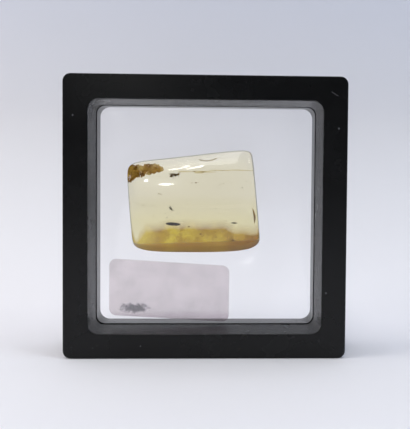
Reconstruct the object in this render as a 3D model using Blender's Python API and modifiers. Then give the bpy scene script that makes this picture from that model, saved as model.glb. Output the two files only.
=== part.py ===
"""A polished piece of amber with its insects, held between two clear films in a hinged black display frame.

Metres, +Z up. The frame stands on its lower edge, and the origin is at the centre of that edge.
The window is looked into from -Y. The front half of the frame swings open on a hinge at its -X side.
"""

import math

import bmesh
import bpy
import numpy as np
from mathutils import Euler, Matrix, Vector
from mathutils.bvhtree import BVHTree

MM = 0.001
GAP = 0.3 * MM  # left between pieces that touch

# The frame: two halves alike, which meet at the parting plane y = 0
FRAME_SIDE = 90.0 * MM
FRAME_DEPTH = 20.0 * MM
OUTER_CORNER = 2.5 * MM
EDGE_ROUND = 0.5 * MM
WINDOW_FACE_HALF = 37.1 * MM  # the opening is a little wider at the face than at the film
WINDOW_FACE_CORNER = 3.4 * MM
WINDOW_FILM_HALF = 36.42 * MM
WINDOW_FILM_CORNER = 2.7 * MM
WINDOW_EDGE_ROUND = 0.3 * MM
REBATE_HALF = 38.6 * MM  # the step that the film's edge lies in
REBATE_CORNER = 0.4 * MM
CORNER_STEPS = 6

# The hinge, along Z at the -X side, and the snap catch at the +X side
HINGE_X = -43.4 * MM
KNUCKLE_RADIUS = 1.5 * MM
HINGE_PIN_RADIUS = 0.6 * MM
HINGE_BORE_RADIUS = 0.9 * MM
KNUCKLE_LENGTH = 6.0 * MM
LUG_LENGTH = 3.0 * MM
HINGE_HEIGHTS = (15.0 * MM, 75.0 * MM)
HINGE_CHAMFER_DEPTH = 4.5 * MM
CATCH_X = 41.2 * MM
CATCH_THICKNESS = 1.2 * MM
CATCH_WIDTH = 10.0 * MM
CATCH_REACH = 3.2 * MM
FINGER_NOTCH_RADII = (2.2 * MM, 2.6 * MM, 7.0 * MM)
FINGER_NOTCH_DEPTH = 1.0 * MM

# The films: clear elastic sheets, stretched from the rebates over the amber and the label
FILM_THICKNESS = 0.25 * MM
FILM_HALF = REBATE_HALF - 0.4 * MM
FILM_RIM_OFFSET = 0.3 * MM  # from the parting plane to a film's inner face at the rim
FILM_CLEARANCE = 0.5 * MM
FILM_CELLS = 12
RELAX_CELLS = 96
RELAX_ROUNDS = 420

# The label: a paper card with round corners, between the films
LABEL_SIZE = (40.1 * MM, 18.9 * MM)
LABEL_THICKNESS = 0.15 * MM
LABEL_CORNER = 2.3 * MM
LABEL_CENTRE = (-12.13 * MM, 19.9 * MM)
LABEL_TILT = math.radians(3.4)
LABEL_SKEW = math.radians(3.0)  # it is cut askew, so its short sides stand almost upright

# The amber: a rounded bar that is 44 mm long, 34 mm high and 13 mm thick
AMBER_LEFT = -25.7 * MM  # where its ends cross the height AMBER_MIDDLE
AMBER_RIGHT = 17.25 * MM
AMBER_MIDDLE = 50.0 * MM
AMBER_LEFT_LEAN = -0.079  # how far each end leans sideways for its height
AMBER_RIGHT_LEAN = -0.096
AMBER_BOTTOM = 32.7 * MM
AMBER_TOP = 65.6 * MM  # over x = 0
AMBER_TOP_SLOPE = 0.103
AMBER_HALF_DEPTH = 6.3 * MM
AMBER_LEVELS = 2
# Along the bar, from its left end: place, then shares of the top's, the bottom's and the depth's reach
AMBER_STATIONS = (
    (0.000, 0.87, 0.83, 0.62),
    (0.075, 0.995, 0.975, 0.95),
    (0.300, 0.985, 1.00, 1.02),
    (0.680, 1.01, 1.00, 1.03),
    (0.930, 1.02, 0.95, 0.95),
    (1.000, 0.96, 0.78, 0.62),
)
# Round the bar, from its top: height, front depth, back depth, and how sharp the ridge there is
AMBER_ROWS = (
    (1.00, 0.42, 0.46, 0.0),
    (0.68, 0.93, 0.88, 0.45),
    (0.24, 1.05, 1.03, 0.0),
    (-0.34, 1.06, 1.04, 0.0),
    (-0.84, 0.88, 0.92, 0.35),
    (-1.00, 0.36, 0.42, 0.0),
)

# Where each thing in the amber lies: its middle (x, depth, height) and the half sizes of its pocket
PLACES = {
    "pinhole_beetle": ((-11.05, -1.2, 42.2), (3.50, 1.55, 1.55)),
    "gnat": ((-11.45, -1.7, 47.4), (2.10, 1.85, 2.05)),
    "winged_ant": ((-10.30, -2.1, 58.3), (3.20, 2.05, 2.15)),
    "fly_pupa": ((9.30, -0.6, 42.5), (1.55, 0.75, 0.75)),
    "leaf_sliver": ((15.45, 0.0, 45.2), (1.50, 0.90, 3.70)),
    "bud_scale": ((0.70, 0.6, 62.9), (4.40, 1.20, 1.65)),
}
PARTING_EASE = 2.5 * MM  # how gently the cut between the amber's halves bends to an inclusion
PARTING_CELLS = (14, 11)

# The crust: what is left of the rind, at the amber's top left corner and flush with it
CRUST_SPINE = ((-28.5, 58.6), (-25.2, 59.4), (-21.6, 60.3), (-18.2, 61.2), (-15.2, 61.5), (-13.9, 61.6))
CRUST_RADII = (3.1, 2.8, 2.35, 1.95, 1.1, 0.4)
CRUST_FLATNESS = 1.35  # its depth against its height

BLACK = (0.012, 0.012, 0.013, 1.0)
CLEAR = (0.93, 0.94, 0.96, 0.25)
PAPER = (0.62, 0.59, 0.63, 1.0)
AMBER_YELLOW = (0.80, 0.66, 0.24, 0.45)
CHITIN = (0.030, 0.016, 0.006, 1.0)
BROWN = (0.16, 0.07, 0.015, 1.0)
RIND = (0.30, 0.16, 0.045, 1.0)


def clear_scene():
    for obj in list(bpy.data.objects):
        bpy.data.objects.remove(obj)


def new_collection(name, hidden=False):
    group = bpy.data.collections.new(name)
    bpy.context.scene.collection.children.link(group)
    group.hide_render = hidden
    return group


def new_material(name, colour, roughness, transmission=0.0, ior=1.5):
    material = bpy.data.materials.new(name)
    material.use_nodes = True
    shader = material.node_tree.nodes["Principled BSDF"]
    shader.inputs["Base Color"].default_value = (*colour[:3], 1.0)
    shader.inputs["Alpha"].default_value = colour[3]
    shader.inputs["Roughness"].default_value = roughness
    shader.inputs["Metallic"].default_value = 0.0
    shader.inputs["Transmission Weight"].default_value = transmission
    shader.inputs["IOR"].default_value = ior
    return material


def object_from_bmesh(name, bm, group, material=None):
    bmesh.ops.recalc_face_normals(bm, faces=bm.faces)
    mesh = bpy.data.meshes.new(name)
    bm.to_mesh(mesh)
    bm.free()
    obj = bpy.data.objects.new(name, mesh)
    group.objects.link(obj)
    if material:
        mesh.materials.append(material)
    return obj


def as_cutter(obj):
    """Puts a helper where the build leaves it out."""
    for group in list(obj.users_collection):
        group.objects.unlink(obj)
    bpy.data.collections["cutters"].objects.link(obj)
    obj.hide_render = True
    obj.display_type = "WIRE"
    return obj


def combine(obj, other, operation):
    modifier = obj.modifiers.new(operation.lower(), "BOOLEAN")
    modifier.operation = operation
    modifier.object = as_cutter(other)
    return modifier


def baked(obj):
    """Gives obj the mesh that its modifiers make, and takes the modifiers off."""
    bpy.context.view_layer.update()
    graph = bpy.context.evaluated_depsgraph_get()
    mesh = bpy.data.meshes.new_from_object(obj.evaluated_get(graph))
    obj.modifiers.clear()
    obj.data = mesh
    return obj


def smooth(obj, angle=math.radians(35)):
    obj.data.shade_smooth()
    obj.data.set_sharp_from_angle(angle=angle)
    return obj


def box(name, low, high):
    middle = [(a + b) / 2 for a, b in zip(low, high)]
    bpy.ops.mesh.primitive_cube_add(size=1.0, location=middle)
    obj = bpy.context.object
    obj.name = name
    obj.scale = [b - a for a, b in zip(low, high)]
    bpy.ops.object.transform_apply(location=False, rotation=False, scale=True)
    return obj


def upright_cylinder(name, radius, x, y, low, high, sides=20):
    bpy.ops.mesh.primitive_cylinder_add(
        vertices=sides, radius=radius, depth=high - low, location=(x, y, (low + high) / 2)
    )
    obj = bpy.context.object
    obj.name = name
    return obj


def ellipsoid(name, middle, radii, turn=(0, 0, 0), segments=14, rings=9):
    bpy.ops.mesh.primitive_uv_sphere_add(
        segments=segments, ring_count=rings, radius=1.0, location=middle, rotation=turn
    )
    obj = bpy.context.object
    obj.name = name
    obj.scale = radii
    bpy.ops.object.transform_apply(location=True, rotation=True, scale=True)
    return obj


def rounded_square(half, corner, y):
    """Points round a square window of the frame, with round corners, at the depth y."""
    points = []
    for quarter in range(4):
        start = quarter * math.pi / 2
        turn = Matrix.Rotation(start, 2)
        centre = turn @ Vector((half - corner, half - corner))
        for step in range(CORNER_STEPS + 1):
            angle = start + step / CORNER_STEPS * math.pi / 2
            x = centre.x + corner * math.cos(angle)
            z = centre.y + corner * math.sin(angle)
            points.append((x, y, z + FRAME_SIDE / 2))
    return points


def lofted_ring(name, sections, group, material):
    """A closed ring of material, lofted through unlike closed sections and back to the first."""
    bm = bmesh.new()
    loops = [[bm.verts.new(p) for p in points] for points in sections]
    for a, b in zip(loops, loops[1:] + loops[:1]):
        for i in range(len(a)):
            j = (i + 1) % len(a)
            bm.faces.new((a[i], a[j], b[j], b[i]))
    return object_from_bmesh(name, bm, group, material)


def frame_blank(name, side, group, material):
    """One half of the frame before the hinge and catch are cut: side is -1 in front, 1 behind."""
    face = FRAME_DEPTH / 2
    half = FRAME_SIDE / 2
    rebate_floor = FILM_RIM_OFFSET + FILM_THICKNESS + GAP

    outline = [(half, OUTER_CORNER, GAP / 2)]
    for step in range(4):
        angle = step / 3 * math.pi / 2
        inset = EDGE_ROUND * (1 - math.cos(angle))
        outline.append(
            (half - inset, OUTER_CORNER - inset, face - EDGE_ROUND * (1 - math.sin(angle)))
        )
    for step in range(4):
        angle = step / 3 * math.pi / 2
        inset = WINDOW_EDGE_ROUND * (1 - math.sin(angle))
        outline.append(
            (
                WINDOW_FACE_HALF + inset,
                WINDOW_FACE_CORNER + inset,
                face - WINDOW_EDGE_ROUND * (1 - math.cos(angle)),
            )
        )
    outline.append((WINDOW_FILM_HALF, WINDOW_FILM_CORNER, rebate_floor))
    outline.append((REBATE_HALF, REBATE_CORNER, rebate_floor))
    outline.append((REBATE_HALF, REBATE_CORNER, GAP / 2))
    sections = [rounded_square(h, r, side * y) for h, r, y in outline]
    return lofted_ring(name, sections, group, material)


def hinge_side_wedge(side):
    """Takes the parting edge off one half along the hinge, so that the frame can open."""
    reach = 2 * MM
    inner = HINGE_X + GAP
    slope = (inner + FRAME_SIDE / 2) / HINGE_CHAMFER_DEPTH
    outer = -FRAME_SIDE / 2 - reach * slope
    profile = [
        (outer, HINGE_CHAMFER_DEPTH + reach),
        (inner + reach * slope, -reach),
        (outer, -reach),
    ]
    bm = bmesh.new()
    corners = [bm.verts.new((x, side * y, -reach)) for x, y in profile]
    floor = bm.faces.new(corners)
    lifted = bmesh.ops.extrude_face_region(bm, geom=[floor])
    top = [v for v in lifted["geom"] if isinstance(v, bmesh.types.BMVert)]
    bmesh.ops.translate(bm, verts=top, vec=(0, 0, FRAME_SIDE + 2 * reach))
    return object_from_bmesh("hinge_wedge", bm, bpy.data.collections["cutters"])


def add_hinges(front, back):
    """A knuckle on the front half turns on stub pins between two lugs of the back half."""
    for height in HINGE_HEIGHTS:
        knuckle = (height - KNUCKLE_LENGTH / 2, height + KNUCKLE_LENGTH / 2)
        room = KNUCKLE_RADIUS + 1.2 * GAP
        combine(
            back,
            upright_cylinder("knuckle_room", room, HINGE_X, 0, knuckle[0] - GAP, knuckle[1] + GAP),
            "DIFFERENCE",
        )
        for sign, end in ((-1, knuckle[0]), (1, knuckle[1])):
            lug = sorted((end + sign * GAP, end + sign * (GAP + LUG_LENGTH)))
            notch = sorted((end, end + sign * (LUG_LENGTH + 2 * GAP)))
            combine(front, upright_cylinder("lug_room", room, HINGE_X, 0, *notch), "DIFFERENCE")
            combine(back, upright_cylinder("lug", KNUCKLE_RADIUS, HINGE_X, 0, *lug), "UNION")
            tip = sorted((end - sign * 1.6 * MM, end + sign * (GAP + LUG_LENGTH / 2)))
            combine(
                back, upright_cylinder("stub_pin", HINGE_PIN_RADIUS, HINGE_X, 0, *tip, 12), "UNION"
            )
        combine(front, upright_cylinder("knuckle", KNUCKLE_RADIUS, HINGE_X, 0, *knuckle), "UNION")
        bore = (knuckle[0] - GAP, knuckle[1] + GAP)
        combine(
            front,
            upright_cylinder("knuckle_bore", HINGE_BORE_RADIUS, HINGE_X, 0, *bore, 16),
            "DIFFERENCE",
        )


def add_catch(front, back):
    """A tongue on the front half snaps into a slot of the back half, beside a notch for a fingernail."""
    middle = FRAME_SIDE / 2
    half_width = CATCH_WIDTH / 2
    inner = CATCH_X - CATCH_THICKNESS / 2
    outer = CATCH_X + CATCH_THICKNESS / 2
    root = 1.5 * MM
    tongue = box(
        "tongue", (inner, -root, middle - half_width), (outer, CATCH_REACH, middle + half_width)
    )
    combine(front, tongue, "UNION")
    bead = upright_cylinder(
        "bead", 0.35 * MM, outer, CATCH_REACH - 0.6 * MM, middle - 3 * MM, middle + 3 * MM, 10
    )
    combine(front, bead, "UNION")
    slot = box(
        "slot",
        (inner - 1.5 * GAP, -root, middle - half_width - 1.5 * GAP),
        (outer + 3 * GAP, CATCH_REACH + 2 * GAP, middle + half_width + 1.5 * GAP),
    )
    combine(back, slot, "DIFFERENCE")
    for half in (front, back):
        notch = ellipsoid(
            "finger_notch",
            (FRAME_SIDE / 2 + FINGER_NOTCH_RADII[0] - FINGER_NOTCH_DEPTH, 0, middle),
            FINGER_NOTCH_RADII,
        )
        combine(half, notch, "DIFFERENCE")


def make_frame(group, material):
    front = frame_blank("front_frame", -1, group, material)
    back = frame_blank("rear_frame", 1, group, material)
    combine(front, hinge_side_wedge(-1), "DIFFERENCE")
    combine(back, hinge_side_wedge(1), "DIFFERENCE")
    add_hinges(front, back)
    add_catch(front, back)
    for half in (front, back):
        smooth(baked(half))
    return front, back


def amber_point(along, height, depth, top_share, bottom_share, depth_share):
    """A point of the amber's cage: along runs from its left end, 0, to its right end, 1."""
    rough_x = AMBER_LEFT + along * (AMBER_RIGHT - AMBER_LEFT)
    top = AMBER_TOP + AMBER_TOP_SLOPE * rough_x
    middle = (top + AMBER_BOTTOM) / 2
    reach = top_share if height > 0 else bottom_share
    z = middle + height * reach * (top - AMBER_BOTTOM) / 2
    left = AMBER_LEFT + AMBER_LEFT_LEAN * (z - AMBER_MIDDLE)
    right = AMBER_RIGHT + AMBER_RIGHT_LEAN * (z - AMBER_MIDDLE)
    return (left + along * (right - left), depth * depth_share * AMBER_HALF_DEPTH, z)


def make_amber(group, material):
    """The whole polished piece: a coarse cage of rows round a bar, made smooth by subdivision."""
    rows = [(v, -front, sharp) for v, front, back, sharp in AMBER_ROWS]
    rows += [(v, back, sharp) for v, front, back, sharp in reversed(AMBER_ROWS)]
    bm = bmesh.new()
    crease = bm.edges.layers.float.new("crease_edge")
    loops = []
    for along, *shares in AMBER_STATIONS:
        loops.append([bm.verts.new(amber_point(along, v, w, *shares)) for v, w, sharp in rows])
    count = len(rows)
    for a, b in zip(loops, loops[1:]):
        for i in range(count):
            j = (i + 1) % count
            bm.faces.new((a[i], b[i], b[j], a[j]))
    for end in (loops[0], loops[-1]):
        for i in range(count // 2 - 1):
            bm.faces.new((end[i], end[i + 1], end[count - 2 - i], end[count - 1 - i]))
    for a, b in zip(loops, loops[1:]):
        for i, (v, w, sharp) in enumerate(rows):
            bm.edges.get((a[i], b[i]))[crease] = sharp
    amber = object_from_bmesh("amber", bm, group, material)
    subdivision = amber.modifiers.new("rounding", "SUBSURF")
    subdivision.levels = subdivision.render_levels = AMBER_LEVELS
    return smooth(baked(amber), math.radians(60))


def place_of(name):
    middle, radii = PLACES[name]
    return Vector(middle) * MM, Vector(radii) * MM


def parting_depth(x, z):
    """How deep the cut between the amber's halves lies: it bends to pass through every inclusion."""
    weight_sum = 1.0
    depth_sum = 0.0
    for name in PLACES:
        middle, radii = place_of(name)
        dx = max(abs(x - middle.x) - radii.x / 2, 0.0)
        dz = max(abs(z - middle.z) - radii.z / 2, 0.0)
        weight = PARTING_EASE**2 / (dx * dx + dz * dz + (0.3 * MM) ** 2)
        weight_sum += weight
        depth_sum += weight * middle.y
    return depth_sum / weight_sum


def parting_slab(side):
    """A thick slab whose one face is the bent cut: it takes away what lies on the other side."""
    across, up = PARTING_CELLS
    low = Vector((-29 * MM, 0, 29 * MM))
    high = Vector((21 * MM, 0, 70 * MM))
    bm = bmesh.new()
    grid = []
    for j in range(up + 1):
        z = low.z + j / up * (high.z - low.z)
        row = []
        for i in range(across + 1):
            x = low.x + i / across * (high.x - low.x)
            row.append(bm.verts.new((x, parting_depth(x, z) + side * 0.75 * GAP, z)))
        grid.append(row)
    faces = []
    for a, b in zip(grid, grid[1:]):
        for i in range(across):
            faces.append(bm.faces.new((a[i], a[i + 1], b[i + 1], b[i])))
    lifted = bmesh.ops.extrude_face_region(bm, geom=faces)
    for v in lifted["geom"]:
        if isinstance(v, bmesh.types.BMVert):
            v.co.y = -side * 15 * MM
    return object_from_bmesh("parting_slab", bm, bpy.data.collections["cutters"])


def part_amber(amber, group, material):
    """The two halves of the amber, with a pocket for each inclusion between them."""
    halves = []
    for name, side in (("amber_front", -1), ("amber_rear", 1)):
        half = bpy.data.objects.new(name, amber.data.copy())
        group.objects.link(half)
        combine(half, parting_slab(side), "DIFFERENCE")
        for inclusion in PLACES:
            middle, radii = place_of(inclusion)
            combine(half, ellipsoid("pocket", middle, radii, segments=10, rings=7), "DIFFERENCE")
        combine(half, crust_lump(1.5 * GAP), "DIFFERENCE")
        halves.append(smooth(baked(half), math.radians(60)))
    return halves


def surface_height(tree, side, x, z):
    """How far the amber reaches from the parting plane over (x, z), or None beside it."""
    start = Vector((x, side * 20 * MM, z))
    hit = tree.ray_cast(start, Vector((0, -side, 0)))[0]
    return None if hit is None else max(side * hit.y, 0.0)


def on_label(x, z):
    """Whether (x, z) is over the label or just beside it."""
    turn = Matrix.Rotation(LABEL_TILT, 2)
    local = turn @ Vector((x - LABEL_CENTRE[0], z - LABEL_CENTRE[1]))
    margin = 0.5 * MM
    return abs(local.x) < LABEL_SIZE[0] / 2 + margin and abs(local.y) < LABEL_SIZE[1] / 2 + margin


def held_heights(tree, side):
    """How high the amber and the label hold a film's inner face, on a fine grid over the window."""
    ticks = np.linspace(-WINDOW_FILM_HALF, WINDOW_FILM_HALF, RELAX_CELLS + 1)
    held = np.full((RELAX_CELLS + 1, RELAX_CELLS + 1), FILM_RIM_OFFSET)
    for j, dz in enumerate(ticks):
        for i, x in enumerate(ticks):
            z = FRAME_SIDE / 2 + dz
            if on_label(x, z):
                held[j, i] = LABEL_THICKNESS / 2 + GAP
            reach = surface_height(tree, side, x, z)
            if reach is not None:
                held[j, i] = reach + FILM_CLEARANCE
    return held


def stretched(held):
    """The heights of a sheet stretched from the window's edge over what holds it."""
    heights = held.copy()
    inner = slice(1, -1)
    rows, columns = np.indices(held.shape)
    squares = [((rows + columns) % 2 == parity)[inner, inner] for parity in (0, 1)]
    pull = 2 / (1 + math.sin(math.pi / RELAX_CELLS))
    for _ in range(RELAX_ROUNDS):
        for colour in squares:
            around = heights[:-2, inner] + heights[2:, inner] + heights[inner, :-2] + heights[inner, 2:]
            moved = heights[inner, inner] + pull * (around / 4 - heights[inner, inner])
            moved = np.maximum(moved, held[inner, inner])
            heights[inner, inner] = np.where(colour, moved, heights[inner, inner])
    return heights


def film_heights(tree, side):
    """The stretched sheet on the film's own coarser grid, raised where a flat cell would cut a corner."""
    held = held_heights(tree, side)
    step = RELAX_CELLS // FILM_CELLS
    coarse = stretched(held)[::step, ::step].copy()
    places = np.arange(RELAX_CELLS + 1)[:, None] / step
    blend = np.maximum(1 - np.abs(places - np.arange(FILM_CELLS + 1)[None, :]), 0)
    for _ in range(4):
        missing = np.maximum(held - blend @ coarse @ blend.T, 0)
        for j in range(1, FILM_CELLS):
            for i in range(1, FILM_CELLS):
                around = missing[(j - 1) * step : (j + 1) * step + 1, (i - 1) * step : (i + 1) * step + 1]
                coarse[j, i] += around.max() * 0.6
    return coarse


def make_film(name, tree, side, group, material):
    rim = np.full((FILM_CELLS + 3, FILM_CELLS + 3), FILM_RIM_OFFSET)
    rim[1:-1, 1:-1] = film_heights(tree, side)
    ticks = [-FILM_HALF, *np.linspace(-WINDOW_FILM_HALF, WINDOW_FILM_HALF, FILM_CELLS + 1), FILM_HALF]
    bm = bmesh.new()
    grid = [
        [
            bm.verts.new((x, side * height, FRAME_SIDE / 2 + dz))
            for x, height in zip(ticks, row, strict=True)
        ]
        for dz, row in zip(ticks, rim, strict=True)
    ]
    for a, b in zip(grid, grid[1:]):
        for i in range(len(ticks) - 1):
            bm.faces.new((a[i], a[i + 1], b[i + 1], b[i]))
    bm.normal_update()
    for face in bm.faces:
        if face.normal.y * side < 0:
            face.normal_flip()
    mesh = bpy.data.meshes.new(name)
    bm.to_mesh(mesh)
    bm.free()
    film = bpy.data.objects.new(name, mesh)
    group.objects.link(film)
    mesh.materials.append(material)
    thickness = film.modifiers.new("thickness", "SOLIDIFY")
    thickness.thickness = FILM_THICKNESS
    thickness.offset = 1.0
    return smooth(baked(film), math.radians(60))


def hang_on_hinge(group, *pieces):
    """Parents the front half to an empty on the hinge's axis: turned about -Z, it opens."""
    hinge = bpy.data.objects.new("frame_hinge", None)
    hinge.location = (HINGE_X, 0, FRAME_SIDE / 2)
    group.objects.link(hinge)
    bpy.context.view_layer.update()
    for piece in pieces:
        piece.parent = hinge
        piece.matrix_parent_inverse = hinge.matrix_world.inverted()


def make_label(group, material):
    """A card with round corners: a flat outline with thickness, standing in the parting plane."""
    outline = bpy.data.curves.new("label", "CURVE")
    outline.dimensions = "2D"
    outline.fill_mode = "BOTH"
    outline.extrude = LABEL_THICKNESS / 2
    points = []
    for quarter, (side_x, side_z) in enumerate(((1, 1), (-1, 1), (-1, -1), (1, -1))):
        centre_x = side_x * (LABEL_SIZE[0] / 2 - LABEL_CORNER)
        centre_z = side_z * (LABEL_SIZE[1] / 2 - LABEL_CORNER)
        for step in range(CORNER_STEPS + 1):
            angle = (quarter + step / CORNER_STEPS) * math.pi / 2
            u = centre_x + LABEL_CORNER * math.cos(angle)
            v = centre_z + LABEL_CORNER * math.sin(angle)
            points.append((u - v * math.sin(LABEL_SKEW), v))
    spline = outline.splines.new("POLY")
    spline.points.add(len(points) - 1)
    for point, (x, z) in zip(spline.points, points):
        point.co = (x, z, 0, 1)
    spline.use_cyclic_u = True
    label = bpy.data.objects.new("label", outline)
    label.rotation_euler = (math.pi / 2, LABEL_TILT, 0)
    label.location = (LABEL_CENTRE[0], 0, LABEL_CENTRE[1])
    group.objects.link(label)
    outline.materials.append(material)
    return label


def turned_body(name, profile, group, material, sides=12):
    """A body turned about X from a list of (place along X, radius), from its tip to its tail."""
    bm = bmesh.new()
    vertices = [bm.verts.new((x * MM, 0, radius * MM)) for x, radius in profile]
    for a, b in zip(vertices, vertices[1:]):
        bm.edges.new((a, b))
    mesh = bpy.data.meshes.new(name)
    bm.to_mesh(mesh)
    bm.free()
    obj = bpy.data.objects.new(name, mesh)
    group.objects.link(obj)
    mesh.materials.append(material)
    screw = obj.modifiers.new("turning", "SCREW")
    screw.axis = "X"
    screw.steps = screw.render_steps = sides
    screw.use_merge_vertices = True
    screw.merge_threshold = 1e-6
    baked(obj)
    shape = bmesh.new()
    shape.from_mesh(obj.data)
    bmesh.ops.remove_doubles(shape, verts=shape.verts, dist=1e-6)
    bmesh.ops.recalc_face_normals(shape, faces=shape.faces)
    shape.to_mesh(obj.data)
    shape.free()
    return obj


def tapered_tube(points, radii, roundness=0):
    """A leg or feeler as a closed mesh: a curve through the points, thinner towards its tip."""
    curve = bpy.data.curves.new("limb", "CURVE")
    curve.dimensions = "3D"
    curve.bevel_depth = 1.0
    curve.bevel_resolution = roundness
    curve.use_fill_caps = True
    spline = curve.splines.new("POLY")
    spline.points.add(len(points) - 1)
    for point, place, radius in zip(spline.points, points, radii):
        point.co = (*(Vector(place) * MM), 1)
        point.radius = radius * MM
    obj = bpy.data.objects.new("limb", curve)
    bpy.context.scene.collection.objects.link(obj)
    bpy.context.view_layer.update()
    mesh = bpy.data.meshes.new_from_object(obj.evaluated_get(bpy.context.evaluated_depsgraph_get()))
    bpy.data.objects.remove(obj)
    return mesh


def wing_blade(root, tip, width, lift, thickness=0.05):
    """A flat wing as a closed mesh: a stretched disc from root to tip, raised to one side by lift."""
    start, end = Vector(root) * MM, Vector(tip) * MM
    along = end - start
    bm = bmesh.new()
    bmesh.ops.create_uvsphere(bm, u_segments=10, v_segments=6, radius=1.0)
    scale = Matrix.Diagonal((along.length / 2, width * MM / 2, thickness * MM / 2, 1))
    x_axis = along.normalized()
    y_axis = Vector(lift).cross(x_axis).normalized()
    z_axis = x_axis.cross(y_axis)
    turn = Matrix((x_axis, y_axis, z_axis)).transposed().to_4x4()
    bm.transform(Matrix.Translation((start + end) / 2) @ turn @ scale)
    mesh = bpy.data.meshes.new("wing")
    bm.to_mesh(mesh)
    bm.free()
    return mesh


def with_limbs(body, meshes):
    """Joins limbs to a body by one union, so that the insect is one solid."""
    bm = bmesh.new()
    for mesh in meshes:
        bm.from_mesh(mesh)
        bpy.data.meshes.remove(mesh)
    bmesh.ops.remove_doubles(bm, verts=bm.verts, dist=1e-7)
    limbs = object_from_bmesh("limbs", bm, bpy.data.collections["cutters"])
    combine(body, limbs, "UNION").use_self = True
    return smooth(baked(body))


def legs(hips, drop, spread, reach, thickness, mirrored=True):
    """Jointed legs: hips along X, a knee out to each side, and a foot below and behind it."""
    meshes = []
    for x, swing in hips:
        for sign in (-1, 1) if mirrored else (1,):
            points = [
                (x, 0, -0.05),
                (x + swing * 0.3, sign * spread * 0.6, -0.02 - drop * 0.15),
                (x + swing * 0.7, sign * spread, -drop * 0.55),
                (x + swing, sign * spread * reach, -drop),
            ]
            meshes.append(
                tapered_tube(points, [thickness, thickness, thickness * 0.7, thickness * 0.45])
            )
    return meshes


def settle(obj, name, turn=(0, 0, 0)):
    """Turns an inclusion and puts it in its place in the amber."""
    middle, radii = place_of(name)
    obj.location = middle
    obj.rotation_euler = Euler([math.radians(angle) for angle in turn])
    return obj


def make_beetle(group, material):
    profile = [
        (2.30, 0.0), (2.24, 0.20), (2.02, 0.34), (1.72, 0.36), (1.62, 0.33), (1.52, 0.40),
        (1.15, 0.46), (0.62, 0.45), (0.50, 0.41), (0.38, 0.47), (-0.40, 0.50), (-1.20, 0.44),
        (-1.85, 0.30), (-2.28, 0.12), (-2.36, 0.0),
    ]
    body = turned_body("pinhole_beetle", profile, group, material)
    limbs = legs([(1.15, 0.45), (0.25, -0.35), (-0.35, -0.65)], 0.62, 0.45, 1.15, 0.07)
    for sign in (-1, 1):
        limbs.append(
            tapered_tube(
                [(2.05, sign * 0.12, 0.1), (2.25, sign * 0.42, 0.16), (2.36, sign * 0.50, 0.2)],
                [0.045, 0.05, 0.085],
            )
        )
    return settle(with_limbs(body, limbs), "pinhole_beetle", (0, 3, 0))


def make_gnat(group, material):
    profile = [
        (0.82, 0.0), (0.76, 0.13), (0.62, 0.18), (0.50, 0.10), (0.42, 0.20), (0.20, 0.29),
        (-0.02, 0.22), (-0.12, 0.13), (-0.40, 0.17), (-0.70, 0.11), (-0.86, 0.0),
    ]
    body = turned_body("gnat", profile, group, material, 9)
    limbs = legs([(0.34, 0.40), (0.18, -0.10), (0.05, -0.55)], 0.72, 0.50, 1.25, 0.035)
    for sign in (-1, 1):
        limbs.append(wing_blade((0.16, sign * 0.05, 0.20), (-0.88, sign * 0.62, 0.52), 0.42, (0, 0, 1)))
        limbs.append(
            tapered_tube(
                [(0.70, sign * 0.05, 0.06), (0.95, sign * 0.16, 0.18), (1.12, sign * 0.22, 0.16)],
                [0.03, 0.028, 0.02],
            )
        )
    return settle(with_limbs(body, limbs), "gnat", (10, 40, 0))


def make_ant(group, material):
    profile = [
        (1.58, 0.0), (1.54, 0.20), (1.30, 0.33), (1.02, 0.27), (0.90, 0.12), (0.80, 0.22),
        (0.48, 0.38), (0.10, 0.34), (-0.16, 0.14), (-0.30, 0.10), (-0.38, 0.16), (-0.48, 0.10),
        (-0.62, 0.26), (-0.98, 0.38), (-1.36, 0.28), (-1.62, 0.08), (-1.66, 0.0),
    ]
    body = turned_body("winged_ant", profile, group, material, 10)
    limbs = legs([(0.66, 0.60), (0.38, -0.15), (0.12, -0.80)], 0.90, 0.62, 1.2, 0.06)
    for sign in (-1, 1):
        limbs.append(wing_blade((0.52, sign * 0.08, 0.28), (-1.72, sign * 0.60, 0.72), 0.72, (0, 0, 1)))
        limbs.append(
            tapered_tube(
                [(1.36, sign * 0.10, 0.16), (1.66, sign * 0.42, 0.40), (2.02, sign * 0.58, 0.22)],
                [0.05, 0.045, 0.035],
            )
        )
    return settle(with_limbs(body, limbs), "winged_ant", (-20, -14, 6))


def make_pupa(group, material):
    rings = 6
    profile = [(1.05, 0.0)]
    for ring in range(rings):
        start = 1.0 - ring * 0.34
        girth = 0.24 * math.sin(math.pi * (ring + 0.9) / (rings + 0.6))
        profile += [(start, girth * 0.82 + 0.02), (start - 0.17, girth + 0.03)]
    profile.append((-1.05, 0.0))
    body = turned_body("fly_pupa", profile, group, material, 10)
    return settle(smooth(baked(body)), "fly_pupa", (0, 2, 0))


def bent_blade(name, points, radii, flatness, group, material):
    """A bit of plant as a closed, flattened, tapered solid along a bent line."""
    curve_mesh = tapered_tube(points, radii)
    bm = bmesh.new()
    bm.from_mesh(curve_mesh)
    bpy.data.meshes.remove(curve_mesh)
    bmesh.ops.remove_doubles(bm, verts=bm.verts, dist=1e-7)
    for v in bm.verts:
        v.co.y *= flatness
    return object_from_bmesh(name, bm, group, material)


def make_sliver(group, material):
    count = 9
    points, radii = [], []
    for i in range(count):
        t = i / (count - 1)
        points.append((0.50 - 1.0 * t + 0.5 * math.sin(math.pi * t), 0, -2.7 + 5.4 * t))
        radii.append(0.04 + 0.30 * math.sin(math.pi * min(t * 1.02, 1.0)) ** 0.8)
    return settle(bent_blade("leaf_sliver", points, radii, 0.6, group, material), "leaf_sliver")


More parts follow.
